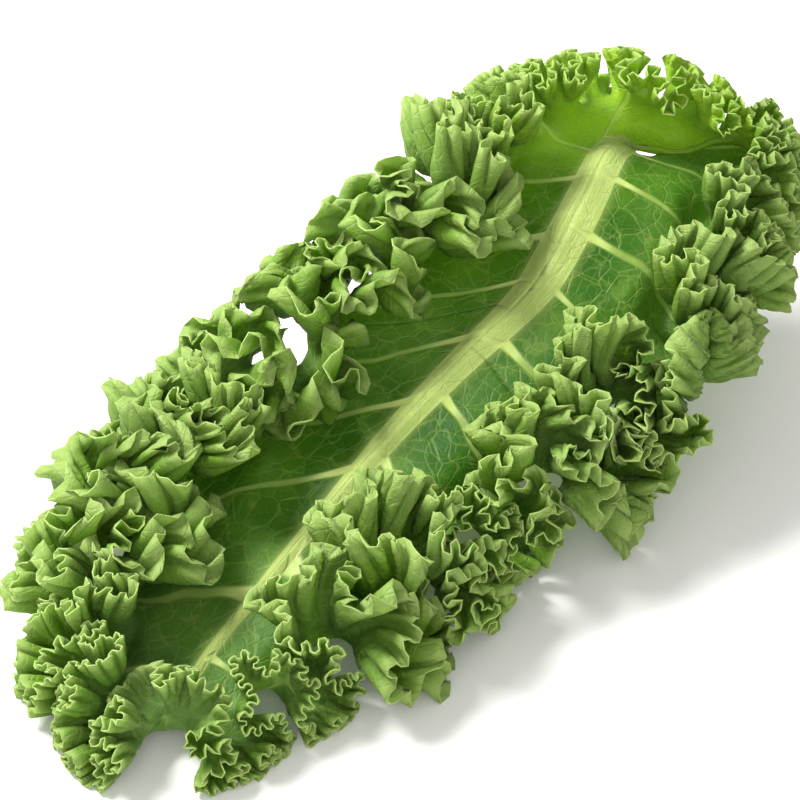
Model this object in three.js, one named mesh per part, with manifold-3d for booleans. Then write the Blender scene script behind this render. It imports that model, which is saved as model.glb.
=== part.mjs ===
// One leaf of curly kale, lying face up on its frills and on its bent-down stalk.
// Millimetres, +Z up, +X from the leaf's tip towards its stalk.
//
// The leaf is two bodies, one for each colour:
//   leaf_blade  the green sheet. Its edge has grown far longer than its middle, so it buckles into frills.
//   midrib      the pale stalk and main rib, with the side ribs that stand out under the blade.
import * as THREE from "three";
import Module from "manifold-3d";
import { mergeVertices } from "three/addons/utils/BufferGeometryUtils.js";

// Driving dimensions.
const BLADE_THICKNESS = 0.7;
const FIT_GAP = 0.6; // between the blade and the ribs
const EDGE_GROWTH = 4.4; // length of the frilled edge against that of a flat leaf
const FRILL_START = 0.3; // share of the way from rib to edge where the sheet starts to ruffle
const LOBE_COUNT = 19; // broad waves round the leaf
const LOBE_HEIGHT = 4;
const LOBE_SPREAD = 0.45; // share of the way over which a lobe comes up
const FRILL_COUNT = 61; // frills round the leaf
const FRILL_HEIGHT = 2;
const BAND_START = 0.5; // share of the way from rib to edge where the sheet turns up into its frilled band
const BAND_BEND = 0.45; // how far the band keeps the direction that it starts in, as a share of its width

// Midrib centreline, from its thin end near the tip, over the crest and down the stalk to the table.
const RIB_LINE = [
  [-143, -19, 9],
  [-119, -14, 12],
  [-98, -12, 16],
  [-50, -10, 27],
  [-23, -10, 34],
  [2, -11, 41],
  [26, -14, 49],
  [53, -18, 58],
  [70, -18, 66],
  [95, -14, 77],
  [118, -8, 82],
  [134, -4, 72],
  [142, -2, 52],
  [146, 0, 30],
  [154, 2, 6.5],
  [172, 4, 3.6],
].map((p) => new THREE.Vector3(...p));
const CREST = 10; // the point of RIB_LINE where the rib turns down into the stalk
// Half widths of the rib at the points of RIB_LINE.
const RIB_HALF_WIDTHS = [1.2, 1.4, 1.8, 2.8, 4.1, 4.9, 5.8, 7.1, 8, 7.6, 6.6, 6.2, 6.2, 6.3, 6.4, 6.6];
const RIB_TOP = 0.16; // height of the rib above its widest line, as a share of its half width
const RIB_KEEL = 0.85; // depth of the rib below that line, as the same share

// The blade without its frills, from the stalk's left, round the tip, to its right: where the side rib
// leaves the midrib (0 at its thin end, 1 at the crest), the point where the frilled band starts, how far
// the sheet sags (below 0) or arches (above 0) on the way there, and how far the band rises and leans in
// over the blade.
const EDGE_STATIONS = [
  [1.13, 160, -42, 79, -6, 8, -4],
  [1.07, 152, -10, 88, 0, 11, -3],
  [1.03, 127, 20, 89, -2, 14, 0],
  [0.98, 99, 32, 85, -4, 18, 8],
  [0.92, 70, 36, 77, -5, 20, 22],
  [0.83, 41, 37, 69, -6, 19, 32],
  [0.74, 12, 40, 60, -6, 20, 22],
  [0.65, -17, 44, 50, -6, 20, 28],
  [0.55, -45, 50, 38, -6, 24, 8],
  [0.44, -72, 52, 30, -5, 20, 28],
  [0.33, -98, 49, 22, -5, 20, 33],
  [0.21, -123, 40, 15, -4, 20, 20],
  [0.09, -142, 26, 8, -3, 18, 8],
  [0.01, -153, 4, 4, 0, 13, 2],
  [0, -152, -20, 3, 0, 9, -2],
  [0.03, -136, -37, 3, 1, 7, -6],
  [0.13, -113, -46, 7, 3, 10, 0],
  [0.25, -86, -53, 12, 5, 16, 20],
  [0.37, -60, -58, 18, 5, 20, 22],
  [0.48, -32, -62, 20, 4, 9, -3],
  [0.58, -1, -68, 23, 4, 16, 12],
  [0.67, 31, -74, 29, 3, 20, 18],
  [0.76, 59, -78, 37, 2, 20, 17],
  [0.85, 87, -77, 47, 1, 19, 12],
  [0.93, 111, -72, 57, 0, 17, 9],
  [1.01, 133, -63, 66, 0, 15, 4],
  [1.12, 160, -54, 71, 0, 10, -1],
  [1.2, 172, -42, 75, 5, 8, -3],
];
const TIP_FAN = [12, 16]; // the stations between which the blade turns round the rib's thin end
const CREST_WRAP = 1.8; // how far the blade's first edge reaches over the crest, as an angle round the rib
const CREST_MEET = 1.2; // how far its last edge comes up to meet the first from the rib's right side
const CREST_SPAN = 2; // stations from either of these edges to where the blade lies beside the rib

// Rows of the sheet from the rib to the edge, and the cells in each. A row has as many as the one before
// it, or twice as many, because the edge is so much longer.
const ROWS = [
  [0, 40],
  [0.12, 40],
  [0.22, 80],
  [0.31, 80],
  [0.39, 160],
  [0.47, 160],
  [0.55, 160],
  [0.63, 320],
  [0.71, 320],
  [0.79, 320],
  [0.86, 320],
  [0.93, 320],
  [1, 320],
];

// Growing of the frills.
const STEPS = 800;
const GROWN_BY = 0.72; // share of the steps over which the edge grows
const SWEEPS = 4; // corrections of the lengths in each step
const STRETCH = 1.25; // over-correction of a length, spread over each point's neighbours
const SMOOTHING = 0.36; // how strongly the sheet resists a sharp bend
const MEMORY = 0.8; // share of its last move that a point keeps
const HOME_PULL = 0.003; // how strongly the frills stay near their place on the leaf
const CLEARANCE = 8.5; // nearest that two points of different folds may come
const LOOKOUT = 2.4; // how much wider than that the search for them is
const LOWEST = BLADE_THICKNESS / 2; // height above the table of the middle of a sheet that lies on it
const CELL_CHECK = 6; // steps between searches for folds that have come near each other

const UP = new THREE.Vector3(0, 0, 1);
const ACROSS = new THREE.Vector3(0, 1, 0);

const clamp = (x, low, high) => Math.min(Math.max(x, low), high);
const smooth = (x) => {
  const c = clamp(x, 0, 1);
  return c * c * (3 - 2 * c);
};

// Catmull-Rom spline through numbers at 0, 1, 2 and so on.
function through(values, at) {
  const last = values.length - 1;
  const i = clamp(Math.floor(at), 0, last - 1);
  const f = at - i;
  const b = values[i];
  const c = values[i + 1];
  const a = i > 0 ? values[i - 1] : 2 * b - c;
  const d = i + 2 <= last ? values[i + 2] : 2 * c - b;
  return b + (f / 2) * (c - a + f * (2 * a - 5 * b + 4 * c - d + f * (3 * (b - c) + d - a)));
}

const ribAxes = ["x", "y", "z"].map((axis) => RIB_LINE.map((p) => p[axis]));
const ribPoint = (at) => new THREE.Vector3(...ribAxes.map((values) => through(values, at)));

// The rib's centre, direction, left side and upper side at a place on RIB_LINE.
function ribFrame(at) {
  const half = 0.05;
  const along = ribPoint(at + half).sub(ribPoint(at - half)).normalize();
  const side = ACROSS.clone().addScaledVector(along, -ACROSS.dot(along)).normalize();
  const upper = new THREE.Vector3().crossVectors(along, side);
  return { centre: ribPoint(at), along, side, upper, half: through(RIB_HALF_WIDTHS, at) };
}

const stationColumns = [0, 1, 2, 3, 4, 5, 6].map((k) => EDGE_STATIONS.map((station) => station[k]));
const LAST_STATION = EDGE_STATIONS.length - 1;

// Point of a curve that leaves one end towards a middle point and arrives at the other end from it.
const bow = (start, middle, end, share) => start.clone().multiplyScalar((1 - share) ** 2)
  .addScaledVector(middle, 2 * share * (1 - share))
  .addScaledVector(end, share * share);

// A point of the leaf before it frills. t runs round the edge and v from the rib (0) to the edge (1).
function plainLeaf(t, v) {
  const at = t * LAST_STATION;
  const [place, x, y, z, arch, rise, lean] = stationColumns.map((values) => through(values, at));
  const rib = ribFrame(clamp(place, 0, 2) * CREST);
  const turn = Math.PI * (0.5 + smooth((at - TIP_FAN[0]) / (TIP_FAN[1] - TIP_FAN[0])));
  const wrap = CREST_WRAP * (1 - smooth(at / CREST_SPAN))
    - CREST_MEET * (1 - smooth((LAST_STATION - at) / CREST_SPAN));
  const reach = rib.half + FIT_GAP;
  const root = rib.centre
    .addScaledVector(rib.along, reach * Math.cos(turn))
    .addScaledVector(rib.side, reach * Math.sin(turn) * Math.cos(wrap))
    .addScaledVector(rib.upper, reach * Math.sin(turn) * Math.sin(wrap));
  const shoulder = new THREE.Vector3(x, y, z);
  const middle = root.clone().lerp(shoulder, 0.55);
  middle.z = root.z + 0.3 * (z - root.z) + arch;
  if (v <= BAND_START) return bow(root, middle, shoulder, v / BAND_START);
  const inward = root.clone().sub(shoulder).setZ(0).normalize();
  const edge = shoulder.clone().addScaledVector(UP, rise).addScaledVector(inward, lean);
  const out = shoulder.clone().sub(middle).normalize();
  const turned = shoulder.clone().addScaledVector(out, BAND_BEND * edge.distanceTo(shoulder));
  return bow(shoulder, turned, edge, (v - BAND_START) / (1 - BAND_START));
}

// The plain leaf's steps along t and v, and its upper normal.
function plainSlopes(t, v) {
  const h = 1e-3;
  const low = [Math.max(t - h, 0), Math.max(v - h, 0)];
  const high = [Math.min(t + h, 1), Math.min(v + h, 1)];
  const dt = plainLeaf(high[0], v).sub(plainLeaf(low[0], v)).divideScalar(high[0] - low[0]);
  const dv = plainLeaf(t, high[1]).sub(plainLeaf(t, low[1])).divideScalar(high[1] - low[1]);
  const normal = new THREE.Vector3().crossVectors(dv, dt).normalize();
  return { dt, dv, normal };
}

const growth = (v, share) => 1 + (EDGE_GROWTH - 1) * share * smooth((v - FRILL_START) / (1 - FRILL_START));

// Height of the first waves that the growing edge builds on: broad lobes and the frills on them.
function wave(t, v) {
  const lobes = Math.sin(2 * Math.PI * LOBE_COUNT * t + 1.3 * Math.sin(2 * Math.PI * 4.1 * t + 0.4) + 0.6);
  const frills = Math.sin(2 * Math.PI * FRILL_COUNT * t + 2.2 * Math.sin(2 * Math.PI * 7.3 * t + 1.1));
  return LOBE_HEIGHT * lobes * smooth((v - FRILL_START) / LOBE_SPREAD)
    + FRILL_HEIGHT * frills * smooth(2 * v - 1);
}

// The sheet's points, its triangles, and the pairs of points whose distance the growth sets.
function layOut() {
  const points = [];
  const starts = [];
  for (const [v, cells] of ROWS) {
    starts.push(points.length);
    for (let i = 0; i <= cells; i++) points.push({ t: i / cells, v });
  }
  const faces = [];
  const links = [];
  ROWS.forEach(([, cells], row) => {
    const at = (i) => starts[row] + i;
    for (let i = 0; i < cells; i++) links.push([at(i), at(i + 1)]);
    if (row === ROWS.length - 1) return;
    const doubled = ROWS[row + 1][1] / cells === 2;
    const next = (i) => starts[row + 1] + i;
    for (let i = 0; i < cells; i++) {
      if (doubled) {
        faces.push([at(i), next(2 * i), next(2 * i + 1)]);
        faces.push([at(i), next(2 * i + 1), at(i + 1)]);
        faces.push([at(i + 1), next(2 * i + 1), next(2 * i + 2)]);
        links.push([at(i), next(2 * i + 1)], [at(i + 1), next(2 * i + 1)]);
      } else if (i % 2) {
        faces.push([at(i), next(i), next(i + 1)], [at(i), next(i + 1), at(i + 1)]);
        links.push([at(i), next(i + 1)], [at(i + 1), next(i)]);
      } else {
        faces.push([at(i), next(i), at(i + 1)], [at(i + 1), next(i), next(i + 1)]);
        links.push([at(i), next(i + 1)], [at(i + 1), next(i)]);
      }
    }
    for (let i = 0; i <= cells; i++) links.push([at(i), next(doubled ? 2 * i : i)]);
  });
  return { points, faces, links, starts };
}

// Length of a link once its part of the sheet has grown: the plain leaf's own length, with the share that
// runs along the edge made longer.
function linkLength(a, b, share) {
  const { dt, dv } = plainSlopes((a.t + b.t) / 2, (a.v + b.v) / 2);
  const along = (b.t - a.t) * growth((a.v + b.v) / 2, share);
  const across = b.v - a.v;
  return dt.multiplyScalar(along).addScaledVector(dv, across).length();
}

// Pairs of points, not neighbours in the sheet, that lie closer than a distance.
function nearPairs(place, count, distance, neighbours) {
  const cells = new Map();
  const key = (i, j, k) => (i + 500) * 1e6 + (j + 500) * 1e3 + k + 100;
  const cellOf = (p) => [0, 1, 2].map((a) => Math.floor(place[3 * p + a] / distance));
  for (let p = 0; p < count; p++) {
    const k = key(...cellOf(p));
    if (!cells.has(k)) cells.set(k, []);
    cells.get(k).push(p);
  }
  const pairs = [];
  for (let p = 0; p < count; p++) {
    const [i, j, k] = cellOf(p);
    for (let n = 0; n < 27; n++) {
      const across = (Math.floor(n / 3) % 3) - 1;
      const found = cells.get(key(i + (n % 3) - 1, j + across, k + Math.floor(n / 9) - 1));
      if (!found) continue;
      for (const q of found) {
        if (q <= p || neighbours[p].has(q)) continue;
        const gap = Math.hypot(place[3 * p] - place[3 * q], place[3 * p + 1] - place[3 * q + 1],
          place[3 * p + 2] - place[3 * q + 2]);
        if (gap < distance) pairs.push(p, q);
      }
    }
  }
  return pairs;
}

// Grows the edge step by step and lets the sheet buckle out of its own way.
function growFrills({ points, links }) {
  const count = points.length;
  const home = new Float64Array(3 * count);
  const place = new Float64Array(3 * count);
  points.forEach(({ t, v }, p) => {
    const plain = plainLeaf(t, v);
    plain.toArray(home, 3 * p);
    plain.addScaledVector(plainSlopes(t, v).normal, wave(t, v)).toArray(place, 3 * p);
  });
  const free = points.map(({ v }) => smooth((v - FRILL_START + 0.02) / 0.2));
  const before = Float64Array.from(place);
  const move = new Float64Array(3 * count);
  const valence = new Float64Array(count);
  const neighbours = points.map(() => new Set());
  for (const [a, b] of links) {
    neighbours[a].add(b);
    neighbours[b].add(a);
    valence[a]++;
    valence[b]++;
  }
  const plainLengths = links.map(([a, b]) => linkLength(points[a], points[b], 0));
  const grownLengths = links.map(([a, b]) => linkLength(points[a], points[b], 1));
  let near = [];
  const shift = (p, q, amount) => {
    for (let a = 0; a < 3; a++) {
      const step = (place[3 * q + a] - place[3 * p + a]) * amount;
      move[3 * p + a] += step;
      move[3 * q + a] -= step;
    }
  };
  const span = (p, q) => Math.hypot(place[3 * q] - place[3 * p], place[3 * q + 1] - place[3 * p + 1],
    place[3 * q + 2] - place[3 * p + 2]);
  const apply = (scale) => {
    for (let p = 0; p < count; p++) {
      const share = (scale * free[p]) / valence[p];
      for (let a = 0; a < 3; a++) place[3 * p + a] += share * move[3 * p + a];
      place[3 * p + 2] = Math.max(place[3 * p + 2], LOWEST);
    }
  };
  for (let step = 0; step < STEPS; step++) {
    const grown = Math.min(1, step / (STEPS * GROWN_BY));
    for (let p = 0; p < count; p++) {
      for (let a = 0; a < 3; a++) {
        const n = 3 * p + a;
        const last = clamp(place[n] - before[n], -1, 1);
        before[n] = place[n];
        place[n] += free[p] * (MEMORY * last + HOME_PULL * (home[n] - place[n]));
      }
    }
    if (step % CELL_CHECK === 0) near = nearPairs(place, count, CLEARANCE + LOOKOUT, neighbours);
    for (let sweep = 0; sweep < SWEEPS; sweep++) {
      move.fill(0);
      links.forEach(([a, b], k) => {
        const wanted = plainLengths[k] + (grownLengths[k] - plainLengths[k]) * grown;
        const now = span(a, b);
        shift(a, b, 0.5 * (1 - wanted / now));
      });
      for (let n = 0; n < near.length; n += 2) {
        const now = Math.max(span(near[n], near[n + 1]), 1e-6);
        if (now < CLEARANCE) shift(near[n], near[n + 1], 1.5 * (1 - CLEARANCE / now));
      }
      apply(STRETCH);
    }
    move.fill(0);
    for (const [a, b] of links) shift(a, b, 1);
    apply(SMOOTHING);
  }
  return place;
}

// Mean of the normals of the faces round each point.
function normalsOf(place, faces, count) {
  const normals = Array.from({ length: count }, () => new THREE.Vector3());
  const at = (p) => new THREE.Vector3().fromArray(place, 3 * p);
  for (const [a, b, c] of faces) {
    const face = new THREE.Vector3().crossVectors(at(b).sub(at(a)), at(c).sub(at(a))).normalize();
    for (const p of [a, b, c]) normals[p].add(face);
  }
  return normals.map((n) => n.normalize());
}

// A closed solid of the blade's thickness round the grown sheet, with both faces split alike.
function bladeGeometry() {
  const sheet = layOut();
  const count = sheet.points.length;
  const place = growFrills(sheet);
  const normals = normalsOf(place, sheet.faces, count);
  const position = [];
  for (const side of [-0.5, 0.5]) {
    for (let p = 0; p < count; p++) {
      const point = new THREE.Vector3().fromArray(place, 3 * p)
        .addScaledVector(normals[p], side * BLADE_THICKNESS);
      position.push(point.x, point.y, Math.max(point.z, 0));
    }
  }
  const index = [];
  for (const [a, b, c] of sheet.faces) index.push(a, c, b, a + count, b + count, c + count);
  const wall = (a, b) => index.push(a, b, b + count, a, b + count, a + count);
  const lastRow = ROWS.length - 1;
  const rim = [];
  for (let i = 0; i <= ROWS[0][1]; i++) rim.push(sheet.starts[0] + i);
  for (let row = 1; row <= lastRow; row++) rim.push(sheet.starts[row] + ROWS[row][1]);
  for (let i = ROWS[lastRow][1] - 1; i >= 0; i--) rim.push(sheet.starts[lastRow] + i);
  for (let row = lastRow - 1; row > 0; row--) rim.push(sheet.starts[row]);
  rim.forEach((p, i) => wall(rim[(i + 1) % rim.length], p));
  const geometry = new THREE.BufferGeometry();
  geometry.setAttribute("position", new THREE.Float32BufferAttribute(position, 3));
  geometry.setIndex(index);
  return geometry;
}

// A closed bar along a path: each ring of a unit cylinder is moved to its place and given its own section.
function bar(sides, rings, ringAt) {
  const geometry = new THREE.CylinderGeometry(1, 1, 1, sides, rings);
  geometry.deleteAttribute("normal");
  geometry.deleteAttribute("uv");
  const merged = mergeVertices(geometry);
  const position = merged.attributes.position;
  for (let i = 0; i < position.count; i++) {
    const local = new THREE.Vector3().fromBufferAttribute(position, i);
    const { centre, side, upper, half, top, keel } = ringAt(0.5 - local.y);
    const rise = local.x > 0 ? top : keel;
    const point = centre.clone()
      .addScaledVector(side, -local.z * half)
      .addScaledVector(upper, local.x * half * rise);
    position.setXYZ(i, point.x, point.y, Math.max(point.z, 0));
  }
  return merged;
}

const RIB_END = 0.15; // place on RIB_LINE of the midrib's thin end
const midribBar = () => bar(12, 64, (share) => {
  const frame = ribFrame(RIB_END + share * (RIB_LINE.length - 1 - RIB_END));
  return { ...frame, top: RIB_TOP, keel: RIB_KEEL };
});

// A side rib under the blade, from inside the midrib to where the frills start.
const SIDE_RIBS = [2.6, 3.8, 5, 6.2, 7.4, 8.6, 9.8, 11, 17, 18.2, 19.4, 20.6, 21.8, 23, 24.2];
const SIDE_RIB_END = 0.21;
const SIDE_RIB_HALF = [1.6, 0.6]; // half width at the midrib and at the end
const SIDE_RIB_DEPTH = 4; // how far in from the blade's inner edge it starts
function sideRib(station) {
  const t = station / LAST_STATION;
  return bar(6, 8, (share) => {
    const v = share * SIDE_RIB_END;
    const { dv, normal } = plainSlopes(t, v);
    const half = SIDE_RIB_HALF[0] + (SIDE_RIB_HALF[1] - SIDE_RIB_HALF[0]) * share;
    const out = dv.normalize();
    const side = new THREE.Vector3().crossVectors(normal, out).normalize();
    const sunk = share === 0; // the first ring lies inside the midrib
    const drop = sunk ? half : BLADE_THICKNESS / 2 + 2 * FIT_GAP + half;
    const centre = plainLeaf(t, v).addScaledVector(normal, -drop)
      .addScaledVector(out, sunk ? -SIDE_RIB_DEPTH : 0);
    return { centre, side, upper: normal, half, top: 1, keel: 1 };
  });
}

const wasm = await Module();
wasm.setup();

function solidOf(geometry) {
  return new wasm.Manifold(new wasm.Mesh({
    numProp: 3,
    vertProperties: new Float32Array(geometry.attributes.position.array),
    triVerts: new Uint32Array(geometry.index.array),
  }));
}

function geometryOf(solid) {
  const mesh = solid.getMesh();
  const geometry = new THREE.BufferGeometry();
  geometry.setAttribute("position", new THREE.BufferAttribute(mesh.vertProperties, 3));
  geometry.setIndex(new THREE.BufferAttribute(mesh.triVerts, 1));
  return geometry;
}

function midribGeometry() {
  let solid = solidOf(midribBar());
  for (const station of SIDE_RIBS) solid = solid.add(solidOf(sideRib(station)));
  return geometryOf(solid);
}

const leafGreen = new THREE.MeshStandardMaterial({ color: 0x4f8a2c, roughness: 0.55, metalness: 0 });
const ribGreen = new THREE.MeshStandardMaterial({ color: 0xb4c66b, roughness: 0.5, metalness: 0 });

function named(name, geometry, material) {
  const mesh = new THREE.Mesh(geometry, material);
  mesh.name = name;
  return mesh;
}

// The leaf stands over the middle of its own footprint, on the table at z = 0.
const leaf = new THREE.Group();
leaf.add(named("leaf_blade", bladeGeometry(), leafGreen), named("midrib", midribGeometry(), ribGreen));
const footprint = new THREE.Box3().setFromObject(leaf);
const middle = footprint.getCenter(new THREE.Vector3());
leaf.position.set(-middle.x, -middle.y, -footprint.min.z);
const kaleLeaf = new THREE.Group().add(leaf);

export default kaleLeaf;
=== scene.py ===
# %% [markdown]
# One leaf of curly kale, face up on a pale floor. The imported solids give its place and its size. This script
# grows a far finer leaf over them, paints it, and sets the lights and the camera. Load comes first.

# %% Load the frame
import bpy
import bmesh
import math
import numpy as np
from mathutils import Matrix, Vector


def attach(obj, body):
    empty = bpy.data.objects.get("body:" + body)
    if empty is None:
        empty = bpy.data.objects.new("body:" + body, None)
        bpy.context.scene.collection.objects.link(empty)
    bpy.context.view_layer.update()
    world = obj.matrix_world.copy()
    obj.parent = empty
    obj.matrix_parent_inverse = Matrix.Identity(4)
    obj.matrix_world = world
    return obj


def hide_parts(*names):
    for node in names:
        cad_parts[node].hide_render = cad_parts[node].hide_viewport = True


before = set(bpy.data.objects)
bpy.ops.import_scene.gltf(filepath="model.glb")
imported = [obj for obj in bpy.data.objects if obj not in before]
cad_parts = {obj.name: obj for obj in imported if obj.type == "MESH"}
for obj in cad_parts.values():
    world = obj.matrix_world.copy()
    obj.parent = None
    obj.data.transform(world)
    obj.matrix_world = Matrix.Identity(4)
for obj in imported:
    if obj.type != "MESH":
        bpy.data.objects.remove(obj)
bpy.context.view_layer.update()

# %% [markdown]
# A kale leaf is a flat blade on a stout rib. Its margin goes on growing after the middle has stopped, and the
# spare length has nowhere to go, so it buckles into lobes, the lobes into frills, and the frills into crimps.
# Drawing each fold by hand would take days and look drawn. Growing them takes a minute and looks grown, so the
# blade starts as a plain trough here, and its edge is made longer step by step further on.

# %% The rib's line, in millimetres
RIB_LINE = np.array([
    [-143, -19, 9], [-119, -14, 12], [-98, -12, 16], [-50, -10, 27], [-23, -10, 34], [2, -11, 41], [26, -14, 49],
    [53, -18, 58], [70, -18, 66], [95, -14, 77], [118, -8, 82], [134, -4, 72], [142, -2, 52], [146, 0, 30],
    [154, 2, 6.5], [172, 4, 3.6]], float)
RIB_HALF_WIDTHS = np.array([1.2, 1.4, 1.8, 2.8, 4.1, 4.9, 5.8, 7.1, 8, 7.6, 6.6, 6.2, 6.2, 6.3, 6.4, 6.6])
CREST = 10
SHIFT = np.array([1.381, 10.462, 0.0])
print("rib runs from", RIB_LINE[0], "to", RIB_LINE[-1], "and is moved by", SHIFT)

# %% The blade's stations, from the stalk's left round the tip to its right
# Each has the side rib's place on the rib, where the frilled band starts (x, y, z), the sag or arch on the way
# there, and how far the band rises and leans in over the blade.
STATIONS = np.array([
    [1.13, 160, -42, 79, -6, 8, -4], [1.07, 152, -10, 88, 0, 11, -3], [1.03, 127, 20, 89, -2, 14, 0],
    [0.98, 99, 32, 85, -4, 18, 8], [0.92, 70, 36, 77, -5, 20, 22], [0.83, 41, 37, 69, -6, 19, 32],
    [0.74, 12, 40, 60, -6, 20, 22], [0.65, -17, 44, 50, -6, 20, 28], [0.55, -45, 50, 38, -6, 24, 8],
    [0.44, -72, 52, 30, -5, 20, 28], [0.33, -98, 49, 22, -5, 20, 33], [0.21, -123, 40, 15, -4, 20, 20],
    [0.09, -142, 26, 8, -3, 18, 8], [0.01, -153, 4, 4, 0, 13, 2], [0, -152, -20, 3, 0, 9, -2],
    [0.03, -136, -37, 3, 1, 7, -6], [0.13, -113, -46, 7, 3, 10, 0], [0.25, -86, -53, 12, 5, 16, 20],
    [0.37, -60, -58, 18, 5, 20, 22], [0.48, -32, -62, 20, 4, 9, -3], [0.58, -1, -68, 23, 4, 16, 12],
    [0.67, 31, -74, 29, 3, 20, 18], [0.76, 59, -78, 37, 2, 20, 17], [0.85, 87, -77, 47, 1, 19, 12],
    [0.93, 111, -72, 57, 0, 17, 9], [1.01, 133, -63, 66, 0, 15, 4], [1.12, 160, -54, 71, 0, 10, -1],
    [1.2, 172, -42, 75, 5, 8, -3]], float)
LAST_STATION = len(STATIONS) - 1
TIP_FAN = (12, 16)
CREST_WRAP, CREST_MEET, CREST_SPAN = 1.8, 1.2, 2
FIT_GAP = 0.6
BAND_START, BAND_BEND = 0.5, 0.45
print(len(STATIONS), "stations")


# %% Curves through the tables
def smooth(x):
    c = np.clip(x, 0, 1)
    return c * c * (3 - 2 * c)


def unit(v):
    return v / np.maximum(np.linalg.norm(v, axis=-1, keepdims=True), 1e-12)


def through(values, at):
    """A smooth curve through rows of numbers at 0, 1, 2 and so on."""
    values = np.asarray(values, float)
    last = len(values) - 1
    at = np.asarray(at, float)
    i = np.clip(np.floor(at).astype(int), 0, last - 1)
    f = at - i
    b, c = values[i], values[i + 1]
    first, final = i > 0, i + 2 <= last
    if values.ndim > 1:
        f, first, final = f[..., None], first[..., None], final[..., None]
    a = np.where(first, values[np.maximum(i - 1, 0)], 2 * b - c)
    d = np.where(final, values[np.minimum(i + 2, last)], 2 * c - b)
    return b + (f / 2) * (c - a + f * (2 * a - 5 * b + 4 * c - d + f * (3 * (b - c) + d - a)))


def bow(start, middle, end, share):
    share = share[..., None]
    return start * (1 - share) ** 2 + middle * 2 * share * (1 - share) + end * share ** 2


def rib_frame(at):
    """The rib's centre, direction, left side, upper side and half width."""
    along = unit(through(RIB_LINE, at + 0.05) - through(RIB_LINE, at - 0.05))
    across = np.array([0, 1.0, 0])
    side = unit(across - along * (along * across).sum(-1, keepdims=True))
    return through(RIB_LINE, at), along, side, np.cross(along, side), through(RIB_HALF_WIDTHS, at)


print("rib's middle:", rib_frame(np.array([8.0]))[0].round(1))


# %% The plain blade
def rib_side(t):
    """The rib's centre, upper side and half width beside a place on the margin, and where the blade starts."""
    at = t * LAST_STATION
    centre, along, side, upper, half = rib_frame(np.clip(through(STATIONS, at)[..., 0], 0, 2) * CREST)
    turn = np.pi * (0.5 + smooth((at - TIP_FAN[0]) / (TIP_FAN[1] - TIP_FAN[0])))[..., None]
    wrap = CREST_WRAP * (1 - smooth(at / CREST_SPAN)) - CREST_MEET * (1 - smooth((LAST_STATION - at) / CREST_SPAN))
    wrap = wrap[..., None]
    out = along * np.cos(turn) + (side * np.cos(wrap) + upper * np.sin(wrap)) * np.sin(turn)
    return centre, upper, half[..., None], centre + out * (half + FIT_GAP)[..., None]


def plain_leaf(t, v):
    """The blade before it frills: t runs round the margin, v from the rib (0) to the edge (1)."""
    station = through(STATIONS, t * LAST_STATION)
    root = rib_side(t)[3]
    shoulder = station[..., 1:4]
    middle = root + (shoulder - root) * 0.55
    middle[..., 2] = root[..., 2] + 0.3 * (shoulder[..., 2] - root[..., 2]) + station[..., 4]
    inward = root - shoulder
    inward[..., 2] = 0
    edge = shoulder + np.array([0, 0, 1.0]) * station[..., 5:6] + unit(inward) * station[..., 6:7]
    span = np.linalg.norm(edge - shoulder, axis=-1, keepdims=True)
    turned = shoulder + unit(shoulder - middle) * BAND_BEND * span
    inner = bow(root, middle, shoulder, np.minimum(v / BAND_START, 1))
    outer = bow(shoulder, turned, edge, np.maximum((v - BAND_START) / (1 - BAND_START), 0))
    return np.where((v > BAND_START)[..., None], outer, inner)


def plain_slopes(t, v, h=1e-3):
    t0, t1, v0, v1 = np.maximum(t - h, 0), np.minimum(t + h, 1), np.maximum(v - h, 0), np.minimum(v + h, 1)
    dt = (plain_leaf(t1, v) - plain_leaf(t0, v)) / (t1 - t0)[..., None]
    dv = (plain_leaf(t, v1) - plain_leaf(t, v0)) / (v1 - v0)[..., None]
    return dt, dv, unit(np.cross(dv, dt))


print("plain edge at the tip:", plain_leaf(np.array([0.5]), np.array([1.0])).round(1))

# %% [markdown]
# To grow a sheet, every pair of neighbouring points is given a wished length. Each step nudges the points
# towards those lengths, keeps apart the folds that would touch, holds the sheet above the floor, and evens it
# out a little, as a real leaf's stiffness does. Blender's cloth could do it too, but it doesn't grow cloth along
# one direction only, and its result would change from one machine to the next.

# %% Wished lengths
LOWEST = 0.35


def link_lengths(t, v, links, growth):
    a, b = links.T
    tm, vm = (t[a] + t[b]) / 2, (v[a] + v[b]) / 2
    dt, dv, _ = plain_slopes(tm, vm)
    return np.linalg.norm(dt * ((t[b] - t[a]) * growth(tm, vm))[:, None] + dv * (v[b] - v[a])[:, None], axis=1)


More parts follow.
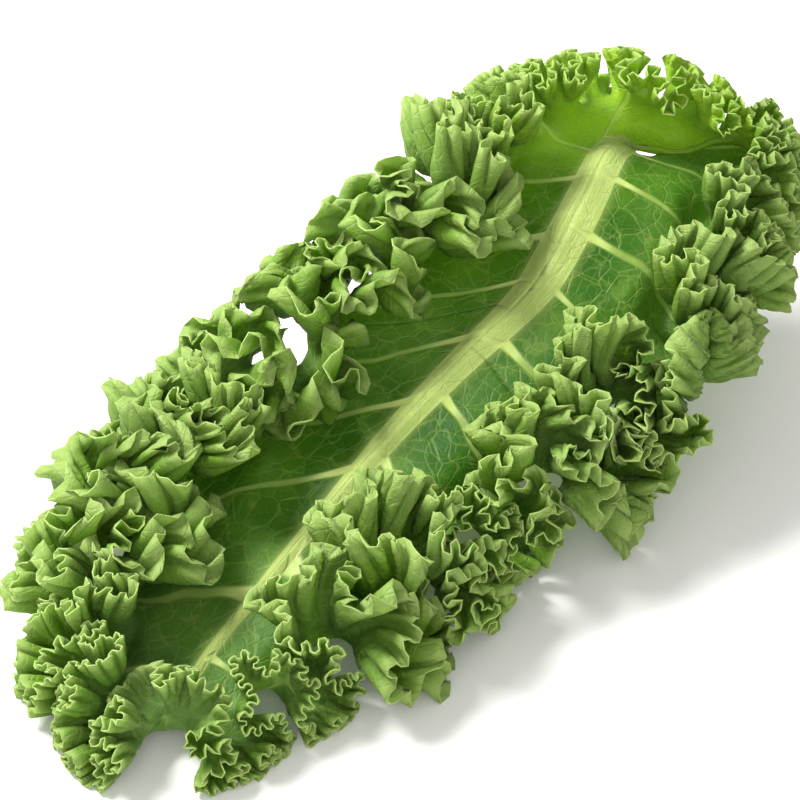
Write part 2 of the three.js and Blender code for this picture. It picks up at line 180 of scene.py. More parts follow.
# %% Folds that come near each other
def near_pairs(place, distance, links):
    """Pairs of points, not linked, that lie nearer than a distance."""
    count = len(place)
    cell = np.floor(place / distance).astype(np.int64)
    cell -= cell.min(0) - 1
    wide = cell.max(0) + 2
    key = (cell[:, 0] * wide[1] + cell[:, 1]) * wide[2] + cell[:, 2]
    order = np.argsort(key, kind="stable")
    key, sorted_place = key[order], place[order]
    found = []
    # Half of the 27 cells round a point are enough, because the other half see the same pairs from their side.
    for dx, dy in ((0, 0), (0, 1), (1, -1), (1, 0), (1, 1)):
        shift = (dx * wide[1] + dy) * wide[2]
        low = np.searchsorted(key, key + shift - 1, side="left")
        high = np.searchsorted(key, key + shift + 1, side="right")
        if dx == 0 and dy == 0:
            low = np.arange(count) + 1
        n = np.arange(count)
        for k in range(int((high - low).max())):
            n = n[high[n] - low[n] > k]
            i, j = n, low[n] + k
            gap = sorted_place[i] - sorted_place[j]
            close = (gap * gap).sum(1) < distance ** 2
            p, q = order[i[close]], order[j[close]]
            found.append(np.minimum(p, q) * count + np.maximum(p, q))
    pairs = np.concatenate(found)
    linked = np.sort(links, axis=1)
    pairs = np.unique(pairs[~np.isin(pairs, linked[:, 0] * count + linked[:, 1])])
    return pairs // count, pairs % count


# %% Growing a sheet
MOMENTUM, GROWING_SHARE, EAGERNESS, PUSH_APART = 0.8, 0.72, 1.25, 1.5


def grow(place, home, free, links, start, end, steps, clearance, lookout, smoothing, pull, sweeps, check, limit):
    """Moves the free points until the links have their end lengths and the folds keep their clearance."""
    count = len(place)
    a, b = links.T
    valence = np.bincount(links.ravel(), minlength=count).astype(float)
    before = place.copy()
    soft = free[:, None]

    def spread(i, j, step):
        return np.stack([np.bincount(i, s, count) - np.bincount(j, s, count) for s in step.T], 1)

    for n in range(steps):
        grown = min(1, n / (steps * GROWING_SHARE))
        last = np.clip(place - before, -limit, limit)
        before = place.copy()
        place = place + soft * (MOMENTUM * last + pull * (home - place))
        if n % check == 0:
            p, q = near_pairs(place, clearance + lookout, links)
        wanted = start + (end - start) * grown
        for _ in range(sweeps):
            gap = place[b] - place[a]
            move = spread(a, b, gap * (0.5 * (1 - wanted / np.linalg.norm(gap, axis=1)))[:, None])
            gap = place[q] - place[p]
            now = np.maximum(np.linalg.norm(gap, axis=1), 1e-6)
            hit = now < clearance
            move += spread(p[hit], q[hit], gap[hit] * (PUSH_APART * (1 - clearance / now[hit]))[:, None])
            place = place + move * (EAGERNESS * free / valence)[:, None]
            place[:, 2] = np.maximum(place[:, 2], LOWEST)
        place = place + spread(a, b, place[b] - place[a]) * (smoothing * free / valence)[:, None]
        place[:, 2] = np.maximum(place[:, 2], LOWEST)
    return place


# %% [markdown]
# The broad lobes come first, on a coarse sheet with the same rows, lengths and waves as the solids, so that the
# fine leaf follows them. Each row has as many points as the one inside it, or twice as many, because the edge
# is so much longer than the rib.

# %% The coarse sheet's rows and waves
ROWS = [(0, 40), (0.12, 40), (0.22, 80), (0.31, 80), (0.39, 160), (0.47, 160), (0.55, 160), (0.63, 320),
        (0.71, 320), (0.79, 320), (0.86, 320), (0.93, 320), (1, 320)]
EDGE_GROWTH, FRILL_START = 4.4, 0.3
BROAD_LOBES, BROAD_FRILLS, FRILLS, CRIMPS = 19, 61, 151, 907  # how many waves round the margin


def broad_growth(t, v):
    return 1 + (EDGE_GROWTH - 1) * smooth((v - FRILL_START) / (1 - FRILL_START))


def broad_wave(t, v):
    lobes = np.sin(2 * np.pi * BROAD_LOBES * t + 1.3 * np.sin(2 * np.pi * 4.1 * t + 0.4) + 0.6)
    frills = np.sin(2 * np.pi * BROAD_FRILLS * t + 2.2 * np.sin(2 * np.pi * 7.3 * t + 1.1))
    return 4 * lobes * smooth((v - FRILL_START) / 0.45) + 2 * frills * smooth(2 * v - 1)


print(sum(cells + 1 for _, cells in ROWS), "points in the coarse sheet")


# %% A sheet in rows, and a smooth surface through one
def sheet_of(rows):
    """The points' t and v, and the links between neighbours."""
    starts = np.cumsum([0] + [cells + 1 for _, cells in rows])
    t = np.concatenate([np.arange(cells + 1) / cells for _, cells in rows])
    v = np.concatenate([np.full(cells + 1, float(v)) for v, cells in rows])
    links = []
    for row, (_, cells) in enumerate(rows):
        here, i = starts[row], np.arange(cells)
        links.append((here + i, here + i + 1))
        if row == len(rows) - 1:
            break
        above, step = starts[row + 1], rows[row + 1][1] // cells
        if step == 2:
            links += [(here + i, above + 2 * i + 1), (here + i + 1, above + 2 * i + 1)]
        else:
            links += [(here + i, above + i + 1), (here + i + 1, above + i)]
        i = np.arange(cells + 1)
        links.append((here + i, above + step * i))
    return t, v, np.concatenate([np.stack(pair, 1) for pair in links])


def surface(rows, points, t, v):
    starts = np.cumsum([0] + [cells + 1 for _, cells in rows])
    row = np.interp(v, [place for place, _ in rows], np.arange(len(rows)))
    low = np.clip(np.floor(row).astype(int), 0, len(rows) - 2)
    lines = np.zeros((len(rows), len(t), 3))
    for k, (_, cells) in enumerate(rows):
        use = (low >= k - 2) & (low <= k + 1)
        lines[k, use] = through(points[starts[k]:starts[k + 1]], t[use] * cells)
    n = np.arange(len(t))
    f = (row - low)[:, None]
    b, c = lines[low, n], lines[low + 1, n]
    a = np.where((low > 0)[:, None], lines[np.maximum(low - 1, 0), n], 2 * b - c)
    d = np.where((low + 2 < len(rows))[:, None], lines[np.minimum(low + 2, len(rows) - 1), n], 2 * c - b)
    return b + (f / 2) * (c - a + f * (2 * a - 5 * b + 4 * c - d + f * (3 * (b - c) + d - a)))


# %% Grow the broad lobes
t, v, links = sheet_of(ROWS)
home = plain_leaf(t, v)
BROAD = grow(home + plain_slopes(t, v)[2] * broad_wave(t, v)[:, None], home, smooth((v - FRILL_START + 0.02) / 0.2),
             links, link_lengths(t, v, links, lambda t, v: np.ones_like(t)),
             link_lengths(t, v, links, broad_growth), steps=800, clearance=8.5, lookout=2.4, smoothing=0.36,
             pull=0.003, sweeps=4, check=6, limit=1.0)
print("broad sheet:", (BROAD.min(0) + SHIFT).round(1), (BROAD.max(0) + SHIFT).round(1))

# %% [markdown]
# The second growth makes the frills that ride on the lobes, loops of 10 to 16 mm. How tightly a stretch curls
# differs round a real leaf: the masses beside the middle are dense, while the fan over the stalk and one lobe
# near the tip stay calmer. A short table says how much each station gets.

# %% How tightly each station curls
CURL = [0.75, 0.6, 0.65, 0.95, 1.15, 1.2, 1.25, 1.3, 1.25, 1.2, 1.1, 1.2, 1, 0.9, 0.95, 0.6, 0.25, 0.9, 1.1, 0.8,
        1.2, 1.25, 1.2, 1.1, 1.1, 1, 0.9, 0.8]


def curl(t):
    return through(CURL, t * LAST_STATION)


def frill_growth(t, v):
    return broad_growth(t, v) * (1 + curl(t) * smooth((v - 0.37) / 0.5))


def frill_wave(t, v):
    frills = np.sin(2 * np.pi * FRILLS * t + 3.1 * np.sin(2 * np.pi * 17.7 * t + 0.9))
    uneven = 0.65 + 0.35 * np.sin(2 * np.pi * 31 * t + 2)
    return 2.6 * curl(t) * uneven * frills * smooth((v - 0.34) / 0.45)


print("curl from", min(CURL), "to", max(CURL))

# %% Grow the frills on the lobes
FRILL_ROWS = [(0, 80), (0.12, 80), (0.22, 160), (0.31, 160), (0.38, 320), (0.44, 320), (0.5, 640), (0.56, 640),
              (0.62, 640), (0.68, 1280), (0.735, 1280), (0.79, 1280), (0.845, 1280), (0.9, 1280), (0.95, 1280),
              (1, 1280)]
t, v, links = sheet_of(FRILL_ROWS)
home = surface(ROWS, BROAD, t, v)
h = 1e-3
slope_t = surface(ROWS, BROAD, np.minimum(t + h, 1), v) - surface(ROWS, BROAD, np.maximum(t - h, 0), v)
slope_v = surface(ROWS, BROAD, t, np.minimum(v + h, 1)) - surface(ROWS, BROAD, t, np.maximum(v - h, 0))
FRILLED = grow(home + unit(np.cross(slope_v, slope_t)) * frill_wave(t, v)[:, None], home, smooth((v - 0.26) / 0.18),
               links, np.linalg.norm(home[links[:, 0]] - home[links[:, 1]], axis=1),
               link_lengths(t, v, links, frill_growth), steps=260, clearance=4.2,
               lookout=1.2, smoothing=0.2, pull=0.002, sweeps=3, check=7, limit=0.7)
print("frilled sheet:", (FRILLED.min(0) + SHIFT).round(1), (FRILLED.max(0) + SHIFT).round(1))

# %% [markdown]
# Real kale has no gap between the rib and the blade: one skin runs over both. So the fine sheet goes on past the
# blade's inner edge, up over the rib to its middle, where the left and the right side meet.

# %% The skin over the rib
RIB_SKIN = 0.36


def over_rib(t, share):
    """From the blade's inner edge (0) up to the rib's middle (1)."""
    centre, upper, half, root = rib_side(t)
    rise = (RIB_SKIN * half + 0.5) * (np.sin(0.5 * np.pi * share) ** 1.3)[:, None]
    return centre + (root - centre) * (1 - share)[:, None] + upper * rise


print("skin stands", RIB_SKIN * 8 + 0.5, "mm over the rib's widest place")

# %% The fine sheet: a grid, split finer towards the edge
RIB_ROWS, BLADE_ROWS, COLUMNS = 5, 34, 400
SPLIT_FROM, LOOSE_FROM = (0.28, 0.52, 0.7, 0.84), 0.48
bm = bmesh.new()
bmesh.ops.create_grid(bm, x_segments=COLUMNS, y_segments=RIB_ROWS + BLADE_ROWS, size=0.5)
for vert in bm.verts:
    row = round((vert.co.y + 0.5) * (RIB_ROWS + BLADE_ROWS)) - RIB_ROWS
    vert.co = (vert.co.x + 0.5, row / RIB_ROWS if row < 0 else (row / BLADE_ROWS) ** 0.8, 0)
for from_v in SPLIT_FROM:
    level = [e for e in bm.edges if abs(e.verts[0].co.y - e.verts[1].co.y) < 1e-6 and e.verts[0].co.y > from_v]
    bmesh.ops.subdivide_edges(bm, edges=level, cuts=1, use_grid_fill=True)
bm.verts.index_update()
flat = np.array([vert.co for vert in bm.verts])
T, V = flat[:, 0].copy(), flat[:, 1].copy()
print("fine sheet:", len(T), "points", len(bm.faces), "faces")

# %% Its links and triangles
links = [(e.verts[0].index, e.verts[1].index) for e in bm.edges]
TRIANGLES = []
for face in bm.faces:
    ring = [vert.index for vert in face.verts]
    if len(ring) == 4:
        links += [(ring[0], ring[2]), (ring[1], ring[3])]
    TRIANGLES += [(ring[0], ring[k], ring[k + 1]) for k in range(1, len(ring) - 1)]
links, TRIANGLES = np.array(links), np.array(TRIANGLES)
LOOSE = V > LOOSE_FROM  # the rest of the sheet doesn't move
renumber = np.cumsum(LOOSE) - 1
LINKS = renumber[links[LOOSE[links].all(1)]]
print(len(LINKS), "links to grow")

# %% [markdown]
# The last growth crimps the outer quarter of the frills, a few millimetres to a crimp. Near the stalk the two
# ends of the blade meet behind the crest, so the last of it is raised there until it closes under the first.

# %% The crimps' growth and first waves
def crimp_growth(t, v):
    return frill_growth(t, v) * (1 + 1.05 * smooth((v - 0.74) / 0.26))


def crimp_wave(t, v):
    crimps = np.sin(2 * np.pi * CRIMPS * t + 2.4 * np.sin(2 * np.pi * 43 * t))
    return 0.5 * crimps * smooth((v - 0.7) / 0.3)


# %% The sheet before it crimps, closed behind the crest
CREST_LIFT, LIFT_SPAN = 8, 1.3
SHEET = np.where((V < 0)[:, None], over_rib(T, np.clip(-V, 0, 1)),
                 surface(FRILL_ROWS, FRILLED, T, np.maximum(V, 0)))
meeting = 1 - smooth((1 - T) * LAST_STATION / LIFT_SPAN)
SHEET[:, 2] += CREST_LIFT * meeting * smooth(V / 0.06) * (1 - smooth((V - 0.4) / 0.25))
print("raised behind the crest:", int((meeting > 0).sum()), "points")

# %% Grow the crimps
a, b, c = (SHEET[TRIANGLES[:, k]] for k in range(3))
facing = np.cross(b - a, c - a)
normals = unit(np.stack([sum(np.bincount(TRIANGLES[:, k], facing[:, axis], len(SHEET)) for k in range(3))
                         for axis in range(3)], 1))
PLACE = SHEET.copy()
home = SHEET[LOOSE]
start = np.linalg.norm(home[LINKS[:, 0]] - home[LINKS[:, 1]], axis=1)
end = link_lengths(T[LOOSE], V[LOOSE], LINKS, crimp_growth)
wavy = home + (normals * crimp_wave(T, V)[:, None])[LOOSE]
PLACE[LOOSE] = grow(wavy, home, smooth((V[LOOSE] - 0.5) / 0.15), LINKS, start, end,
                    steps=130, clearance=1.5, lookout=0.7, smoothing=0.08, pull=0.001,
                    sweeps=3, check=8, limit=0.5)
print("grown sheet:", (PLACE.min(0) + SHIFT).round(1), (PLACE.max(0) + SHIFT).round(1))

# %% [markdown]
# The very edge of a frill is toothed. The outermost points are moved in or out at random, a tooth to every three
# of them, with a fixed seed so that every run gives the same leaf.

# %% Teeth along the edge
TOOTH_POINTS = 3
rng = np.random.default_rng(7)
edge_row = np.flatnonzero(V > 1 - 1e-6)
edge_row = edge_row[np.argsort(T[edge_row])]
next_v = V[V < 1 - 1e-6].max()
next_row = np.flatnonzero(np.abs(V - next_v) < 1e-6)
next_row = next_row[np.argsort(T[next_row])]
teeth = rng.uniform(-0.5, 1.3, len(edge_row) // TOOTH_POINTS + 2)
tooth = np.interp(np.arange(len(edge_row)) / TOOTH_POINTS, np.arange(len(teeth)), teeth)[:, None]
PLACE[edge_row] += (PLACE[edge_row] - PLACE[next_row]) * tooth
PLACE[:, 2] = np.maximum(PLACE[:, 2], LOWEST)
print(len(edge_row), "points along the edge")

# %% Put the sheet in its place
for vert, place in zip(bm.verts, (PLACE + SHIFT) / 1000):
    vert.co = place
layer = bm.loops.layers.uv.new("sheet")
for face in bm.faces:
    face.smooth = True
    for loop in face.loops:
        loop[layer].uv = (T[loop.vert.index], V[loop.vert.index])
middle_t = {face: sum(T[vert.index] for vert in face.verts) / len(face.verts) for face in bm.faces}
bmesh.ops.reverse_faces(bm, faces=list(bm.faces))
print("sheet in place:", len(bm.faces), "faces")

# %% [markdown]
# A sheet this fine is best kept in a few pieces, so that none gets too heavy. It is cut across the margin, where
# the cuts run down between frills. Solidify then gives each piece its half millimetre, with a second material
# for the underside and a third for the pale cut edge.

# %% Cut into four pieces and thicken
BLADE_THICKNESS = 0.0005


def blade_piece(name, low_t, high_t):
    kept = bm.copy()
    kept.faces.ensure_lookup_table()
    bm.faces.ensure_lookup_table()
    away = [kept.faces[n] for n, face in enumerate(bm.faces) if not low_t <= middle_t[face] < high_t]
    bmesh.ops.delete(kept, geom=away, context="FACES")
    mesh = bpy.data.meshes.new(name)
    kept.to_mesh(mesh)
    kept.free()
    piece = bpy.data.objects.new(name, mesh)
    bpy.context.scene.collection.objects.link(piece)
    thickness = piece.modifiers.new("thickness", "SOLIDIFY")
    thickness.thickness = BLADE_THICKNESS
    thickness.offset = 0
    thickness.material_offset = 1
    thickness.material_offset_rim = 2
    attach(piece, "root")
    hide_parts("leaf_blade")
    print(name, len(mesh.polygons), "faces before thickness")
    return piece


CUTS = [-1, 0.25, 0.5, 0.75, 2]
BLADES = [blade_piece(name, *CUTS[n:n + 2]) for n, name in enumerate((
    "kale_blade_fan", "kale_blade_left", "kale_blade_tip", "kale_blade_right"))]
bm.free()

# %% [markdown]
# The stalk and the rib's underside are one round bar, thick at the stalk and fine at the tip. A plain cylinder
# would have to be bent and thinned ring by ring, so a grid is rolled up into a tube along the rib's line, with
# each ring's own width. Its top is kept flat under the leaf, where the skin of the blade covers it, and gets its
# shallow crown on the stalk.

# %% The stalk and the rib under the blade
RIB_END, SIDES, RINGS = 0.15, 32, 150
RIB_FLAT, RIB_CROWN, RIB_KEEL = -0.05, 0.16, 0.85  # heights of its top and underside, as shares of the half width
bm = bmesh.new()
bmesh.ops.create_grid(bm, x_segments=SIDES, y_segments=RINGS, size=0.5)
around = np.array([vert.co.x + 0.5 for vert in bm.verts]) * 2 * np.pi
place = RIB_END + np.array([vert.co.y + 0.5 for vert in bm.verts]) * (len(RIB_LINE) - 1 - RIB_END)
centre, _, side, upper, half = rib_frame(place)
crown = RIB_FLAT + (RIB_CROWN - RIB_FLAT) * smooth((place - 9.6) / 1.2)
ridges = 1 + 0.025 * np.cos(7 * around) * (np.sin(around) < 0.2)
rise = np.where(np.sin(around) > 0, crown, RIB_KEEL) * np.sin(around)
points = centre + side * (np.cos(around) * half * ridges)[:, None] + upper * (rise * half * ridges)[:, None]
points[:, 2] = np.maximum(points[:, 2], -SHIFT[2])
for vert, point in zip(bm.verts, (points + SHIFT) / 1000):
    vert.co = point
bmesh.ops.remove_doubles(bm, verts=list(bm.verts), dist=1e-6)
bmesh.ops.holes_fill(bm, edges=[e for e in bm.edges if e.is_boundary], sides=SIDES)
bmesh.ops.recalc_face_normals(bm, faces=list(bm.faces))
mesh = bpy.data.meshes.new("kale_rib")
for face in bm.faces:
    face.smooth = len(face.verts) == 4
bm.to_mesh(mesh)
bm.free()
RIB = bpy.data.objects.new("kale_rib", mesh)
bpy.context.scene.collection.objects.link(RIB)
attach(RIB, "root")
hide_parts("midrib")
print("rib:", len(mesh.polygons), "faces")


# %% [markdown]
# Colours are given as sRGB hex and turned linear once, by one function. One more function adds a node
# with its settings and links, so that each material below reads as a list of steps.

# %% Colours and nodes
def linear(hex_code):
    parts = [int(hex_code[i:i + 2], 16) / 255 for i in (0, 2, 4)]
    return tuple(c / 12.92 if c <= 0.04045 else ((c + 0.055) / 1.055) ** 2.4 for c in parts) + (1,)


def put(tree, kind, inputs=None, **settings):
    made = tree.nodes.new(kind)
    for name, value in settings.items():
        setattr(made, name, value)
    for key, value in (inputs or {}).items():
        if isinstance(value, bpy.types.NodeSocket):
            tree.links.new(value, made.inputs[key])
        else:
            made.inputs[key].default_value = value
    return made


print("leaf green is", [round(c, 3) for c in linear("5E8A34")[:3]])

# %% [markdown]
# Kale skin is matt with a thin bluish wax bloom, and it lets light through: against the light it turns a bright
# yellow-green. Pale side ribs leave the midrib about every 33 mm, finer veins leave those, and a net of the
# finest ones has meshes of about 9 mm and 4 mm. The sheet's own map (t, v) draws the side ribs, because they
# follow the leaf. The net reads Object coordinates in metres, so 110 and 250 cells to the metre give its meshes.

# %% Kale skin
SIDE_RIB_FIRST, SIDE_RIB_STEP = 2.6, 1.2  # in stations
RIB_COLOURS, FAN_GLOW_COLOUR, RIM_COLOUR = ("9AB444", "CAD888"), "A6CE2C", "BCD27C"


def kale_skin(name, greens, bloom, vein_colour, vein_share, glow, roughness):
    made = bpy.data.materials.new(name)
    made.use_nodes = True
    tree = made.node_tree
    tree.nodes.clear()
    spot = put(tree, "ShaderNodeTexCoord").outputs["Object"]
    sheet = put(tree, "ShaderNodeUVMap", uv_map="sheet").outputs[0]
    split = put(tree, "ShaderNodeSeparateXYZ", {0: sheet})
    t, v = split.outputs[0], split.outputs[1]

    # Side ribs: the distance to the nearest one, in stations, with a slow wander that grows outwards.
    wander = put(tree, "ShaderNodeTexNoise", {"Vector": spot, "Scale": 28, "Detail": 2}).outputs["Fac"]
    wander = put(tree, "ShaderNodeMath", {0: wander, 1: 0.5}, operation="SUBTRACT").outputs[0]
    wander = put(tree, "ShaderNodeMath", {0: wander, 1: v}, operation="MULTIPLY").outputs[0]
    station = put(tree, "ShaderNodeMath", {0: t, 1: LAST_STATION, 2: 0.0}, operation="MULTIPLY_ADD").outputs[0]
    station = put(tree, "ShaderNodeMath", {0: wander, 1: 2.6, 2: station}, operation="MULTIPLY_ADD").outputs[0]
    phase = put(tree, "ShaderNodeMath", {0: station, 1: 1 / SIDE_RIB_STEP, 2: -SIDE_RIB_FIRST / SIDE_RIB_STEP},
                operation="MULTIPLY_ADD").outputs[0]
    away = put(tree, "ShaderNodeMath", {0: phase, 1: 0.5}, operation="PINGPONG").outputs[0]
    width = put(tree, "ShaderNodeMapRange", {"Value": v, "From Min": 0, "From Max": 0.75, "To Min": 0.075,
                                             "To Max": 0.012}).outputs[0]
    away = put(tree, "ShaderNodeMath", {0: away, 1: width}, operation="DIVIDE").outputs[0]
    side_rib = put(tree, "ShaderNodeMapRange", {"Value": away, "From Min": 0.35, "From Max": 1.15, "To Min": 1,
                                                "To Max": 0}, interpolation_type="SMOOTHSTEP").outputs[0]

    # Veins that leave the side ribs at a slant, towards both sides.
    bent = put(tree, "ShaderNodeTexNoise", {"Vector": spot, "Scale": 55, "Detail": 2}).outputs["Fac"]
    bent = put(tree, "ShaderNodeMath", {0: bent, 1: 2.2}, operation="MULTIPLY").outputs[0]
    branches = []
    for slant in (7.5, -7.5):
        line = put(tree, "ShaderNodeMath", {0: v, 1: slant, 2: bent}, operation="MULTIPLY_ADD").outputs[0]
        line = put(tree, "ShaderNodeMath", {0: phase, 1: 2.0, 2: line}, operation="MULTIPLY_ADD").outputs[0]
        line = put(tree, "ShaderNodeMath", {0: line, 1: 0.5}, operation="PINGPONG").outputs[0]
        branches.append(put(tree, "ShaderNodeMapRange", {"Value": line, "From Min": 0.01, "From Max": 0.07,
                                                         "To Min": 1, "To Max": 0},
                            interpolation_type="SMOOTHSTEP").outputs[0])
    branch = put(tree, "ShaderNodeMath", {0: branches[0], 1: branches[1]}, operation="MAXIMUM").outputs[0]

    # The net between them, at two sizes of mesh.
    nets = []
    for cells, line_width in ((110, 0.05), (250, 0.07)):
        edge = put(tree, "ShaderNodeTexVoronoi", {"Vector": spot, "Scale": cells},
                   feature="DISTANCE_TO_EDGE").outputs["Distance"]
        nets.append(put(tree, "ShaderNodeMapRange", {"Value": edge, "From Min": 0, "From Max": line_width,
                                                     "To Min": 1, "To Max": 0},
                        interpolation_type="SMOOTHSTEP").outputs[0])
    net = put(tree, "ShaderNodeMath", {0: nets[1], 1: 0.45, 2: nets[0]}, operation="MULTIPLY_ADD").outputs[0]
    fine = put(tree, "ShaderNodeMath", {0: branch, 1: 0.8, 2: net}, operation="MULTIPLY_ADD").outputs[0]
    fine = put(tree, "ShaderNodeMath", {0: fine, 1: 0.32}, operation="MULTIPLY").outputs[0]
    veins = put(tree, "ShaderNodeMath", {0: side_rib, 1: fine}, operation="MAXIMUM").outputs[0]

    # Green: deep and light in patches of about 30 mm, lighter and yellower towards the edge.
    patch = put(tree, "ShaderNodeTexNoise", {"Vector": spot, "Scale": 33, "Detail": 4}).outputs["Fac"]
    patch = put(tree, "ShaderNodeMapRange", {"Value": patch, "From Min": 0.35, "From Max": 0.65}).outputs[0]
    colour = put(tree, "ShaderNodeMix", {0: patch, 6: linear(greens[0]), 7: linear(greens[1])},
                 data_type="RGBA").outputs[2]
    outer = put(tree, "ShaderNodeMapRange", {"Value": v, "From Min": 0.55, "From Max": 0.99,
                                             "To Max": 0.7}).outputs[0]
    colour = put(tree, "ShaderNodeMix", {0: outer, 6: colour, 7: linear(greens[2])}, data_type="RGBA").outputs[2]
    waxed = put(tree, "ShaderNodeTexNoise", {"Vector": spot, "Scale": 18, "Detail": 3}).outputs["Fac"]
    waxed = put(tree, "ShaderNodeMapRange", {"Value": waxed, "From Min": 0.42, "From Max": 0.68,
                                             "To Max": bloom[1]}).outputs[0]
    colour = put(tree, "ShaderNodeMix", {0: waxed, 6: colour, 7: linear(bloom[0])}, data_type="RGBA").outputs[2]
    # Painted glow: the fan over the stalk is painted a bright yellow-green. It stands in for the light that shines
    # through it from behind.
    painted_fan_glow = put(tree, "ShaderNodeMapRange", {"Value": t, "From Min": 1.5 / LAST_STATION,
                                             "From Max": 4 / LAST_STATION, "To Min": 0.9, "To Max": 0}).outputs[0]
    colour = put(tree, "ShaderNodeMix", {0: painted_fan_glow, 6: colour, 7: linear(FAN_GLOW_COLOUR)}, data_type="RGBA").outputs[2]
    strong = put(tree, "ShaderNodeMath", {0: veins, 1: vein_share}, operation="MULTIPLY").outputs[0]
    colour = put(tree, "ShaderNodeMix", {0: strong, 6: colour, 7: linear(vein_colour)}, data_type="RGBA").outputs[2]

    # The skin pales into the rib, further out along each side rib, and turns light at the very edge.
    reach = put(tree, "ShaderNodeMath", {0: side_rib, 1: -0.08, 2: v}, operation="MULTIPLY_ADD").outputs[0]
    ribbed = put(tree, "ShaderNodeMapRange", {"Value": reach, "From Min": -0.05, "From Max": 0.035, "To Min": 1,
                                              "To Max": 0}, interpolation_type="SMOOTHSTEP").outputs[0]
    streak = put(tree, "ShaderNodeTexNoise", {"Vector": sheet, "Scale": 9, "Detail": 3}).outputs["Fac"]
    rib = put(tree, "ShaderNodeMix", {0: streak, 6: linear(RIB_COLOURS[0]), 7: linear(RIB_COLOURS[1])},
              data_type="RGBA").outputs[2]
    colour = put(tree, "ShaderNodeMix", {0: ribbed, 6: colour, 7: rib}, data_type="RGBA").outputs[2]
    rim = put(tree, "ShaderNodeMapRange", {"Value": v, "From Min": 0.94, "From Max": 1, "To Max": 0.6}).outputs[0]
    colour = put(tree, "ShaderNodeMix", {0: rim, 6: colour, 7: linear(RIM_COLOUR)}, data_type="RGBA").outputs[2]

    # Relief: veins stand in fine grooves and the skin between them puckers.
    pucker = put(tree, "ShaderNodeTexNoise", {"Vector": spot, "Scale": 160, "Detail": 2}).outputs["Fac"]
    grain = put(tree, "ShaderNodeMath", {0: veins, 1: -0.8, 2: pucker}, operation="MULTIPLY_ADD").outputs[0]
    relief = put(tree, "ShaderNodeBump", {"Strength": 0.55, "Distance": 0.0012, "Height": grain}).outputs[0]
    skin = put(tree, "ShaderNodeBsdfPrincipled", {
        "Base Color": colour, "Roughness": roughness, "IOR": 1.35, "Sheen Weight": 0.05, "Sheen Roughness": 0.5,
        "Sheen Tint": linear("DDE8EA"), "Normal": relief}).outputs[0]
    lit = put(tree, "ShaderNodeMix", {0: 0.6, 6: colour, 7: linear(glow[0])}, data_type="RGBA").outputs[2]
    through_leaf = put(tree, "ShaderNodeBsdfTranslucent", {"Color": lit, "Normal": relief}).outputs[0]
    thin = put(tree, "ShaderNodeMath", {0: ribbed, 1: -0.95 * glow[1], 2: glow[1]},
               operation="MULTIPLY_ADD").outputs[0]
    mixed = put(tree, "ShaderNodeMixShader", {0: thin, 1: skin, 2: through_leaf}).outputs[0]
    put(tree, "ShaderNodeOutputMaterial", {"Surface": mixed})
    return made


# %% The three skins of the blade
# The upper face is fresh green with grey-green bloom. The underside is paler and duller. The cut edge is light.
UPPER = kale_skin("kale_upper_skin", ("2C600C", "588814", "84AA2E"), ("7E9C5C", 0.4), "B8CE6C", 0.55,
                  ("BCE61E", 0.36), 0.48)
UNDER = kale_skin("kale_underside_skin", ("44741C", "6A942C", "8DB040"), ("8CA668", 0.35), "BED27A", 0.6,
                  ("BCE61E", 0.36), 0.55)
EDGE = kale_skin("kale_edge_skin", ("9FBD5A", "AAC666", "B8D178"), ("BCCB9A", 0.3), "D4E2AE", 0.2,
                 ("D6F06A", 0.3), 0.55)
for piece in BLADES:
    for skin in (UPPER, UNDER, EDGE):
        piece.data.materials.append(skin)
print("skins:", [skin.name for skin in (UPPER, UNDER, EDGE)])

# %% [markdown]
# The stalk is firm, smooth and a little shiny, pale yellow-green with fine lengthwise streaks. Noise that is
# stretched along X, the way the leaf lies, gives the streaks.

# %% Rib skin
rib_skin = bpy.data.materials.new("kale_rib_skin")
rib_skin.use_nodes = True
tree = rib_skin.node_tree
tree.nodes.clear()
spot = put(tree, "ShaderNodeTexCoord").outputs["Object"]
long = put(tree, "ShaderNodeMapping", {"Vector": spot, "Scale": (12, 220, 220)}).outputs[0]
streak = put(tree, "ShaderNodeTexNoise", {"Vector": long, "Scale": 1, "Detail": 3}).outputs["Fac"]
colour = put(tree, "ShaderNodeMix", {0: streak, 6: linear(RIB_COLOURS[0]), 7: linear(RIB_COLOURS[1])},
             data_type="RGBA").outputs[2]
relief = put(tree, "ShaderNodeBump", {"Strength": 0.3, "Distance": 0.0005, "Height": streak}).outputs[0]
skin = put(tree, "ShaderNodeBsdfPrincipled", {
    "Base Color": colour, "Roughness": 0.42, "IOR": 1.4, "Normal": relief}).outputs[0]
put(tree, "ShaderNodeOutputMaterial", {"Surface": skin})
RIB.data.materials.append(rib_skin)
print("rib skin on", RIB.name)

# %% [markdown]
# The leaf lies in soft light on a plain pale floor, with one soft shadow at the lower right. A near-white world
# lights it from all round, a large square lamp from behind on the left gives the shadow and shines through the
# frills, and a weak one in front keeps the near frills from going dark.

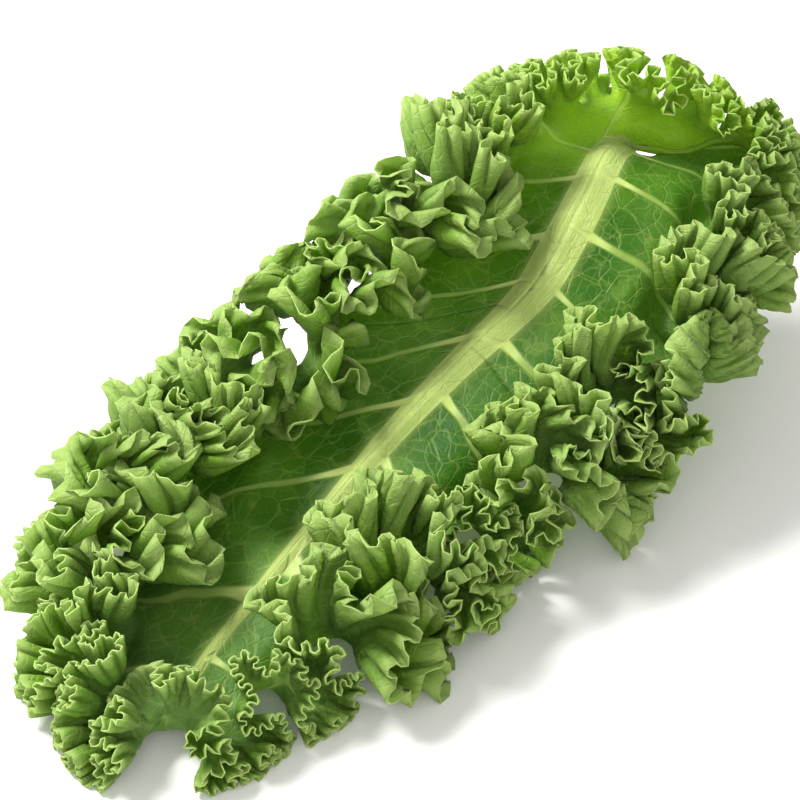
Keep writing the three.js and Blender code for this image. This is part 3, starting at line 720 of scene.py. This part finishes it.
# %% Floor
bm = bmesh.new()
bmesh.ops.create_grid(bm, x_segments=1, y_segments=1, size=4)
floor_mesh = bpy.data.meshes.new("floor")
bm.to_mesh(floor_mesh)
bm.free()
floor = bpy.data.objects.new("floor", floor_mesh)
bpy.context.scene.collection.objects.link(floor)
floor_paint = bpy.data.materials.new("painted_floor")
floor_paint.use_nodes = True
paint = floor_paint.node_tree.nodes["Principled BSDF"]
paint.inputs["Base Color"].default_value = linear("F6F4F1")
paint.inputs["Roughness"].default_value = 0.9
floor_mesh.materials.append(floor_paint)
print("floor:", floor_paint.name)

# %% World and lamps
world = bpy.data.worlds.new("studio")
bpy.context.scene.world = world
world.use_nodes = True
world.node_tree.nodes["Background"].inputs[0].default_value = (1, 1, 1, 1)
world.node_tree.nodes["Background"].inputs[1].default_value = 0.62


def soft_lamp(name, place, size, power):
    lamp = bpy.data.lights.new(name, "AREA")
    lamp.shape = "SQUARE"
    lamp.size = size
    lamp.energy = power
    stand = bpy.data.objects.new(name, lamp)
    stand.location = place
    stand.rotation_euler = (Vector((0, 0, 0.04)) - Vector(place)).to_track_quat("-Z", "Y").to_euler()
    bpy.context.scene.collection.objects.link(stand)
    print(name, place, power, "W")


soft_lamp("window_behind", (-0.15, 0.8, 1.05), 0.5, 31)
soft_lamp("card_in_front", (-1.0, -0.8, 0.9), 1.2, 7)

# %% [markdown]
# The camera looks down at 40 degrees from beside the tip. Its place was found from points of the photograph
# whose place on the leaf is known, and a long lens keeps the leaf's near end from looking too large.

# %% Camera
TARGET = np.array([1.9, -0.6, 36.3]) + SHIFT
ELEVATION, AZIMUTH, DISTANCE, LENS = math.radians(40), math.radians(-52), 900, 113.5
back = np.array([math.sin(AZIMUTH) * math.cos(ELEVATION), -math.cos(AZIMUTH) * math.cos(ELEVATION),
                 math.sin(ELEVATION)])
camera_data = bpy.data.cameras.new("camera")
camera_data.lens = LENS
camera = bpy.data.objects.new("camera", camera_data)
camera.location = Vector((TARGET + back * DISTANCE) / 1000)
camera.rotation_euler = Vector(-back).to_track_quat("-Z", "Y").to_euler()
bpy.context.scene.collection.objects.link(camera)
bpy.context.scene.camera = camera
bpy.context.scene.view_settings.view_transform = "Standard"
print("camera at", [round(c, 3) for c in camera.location])
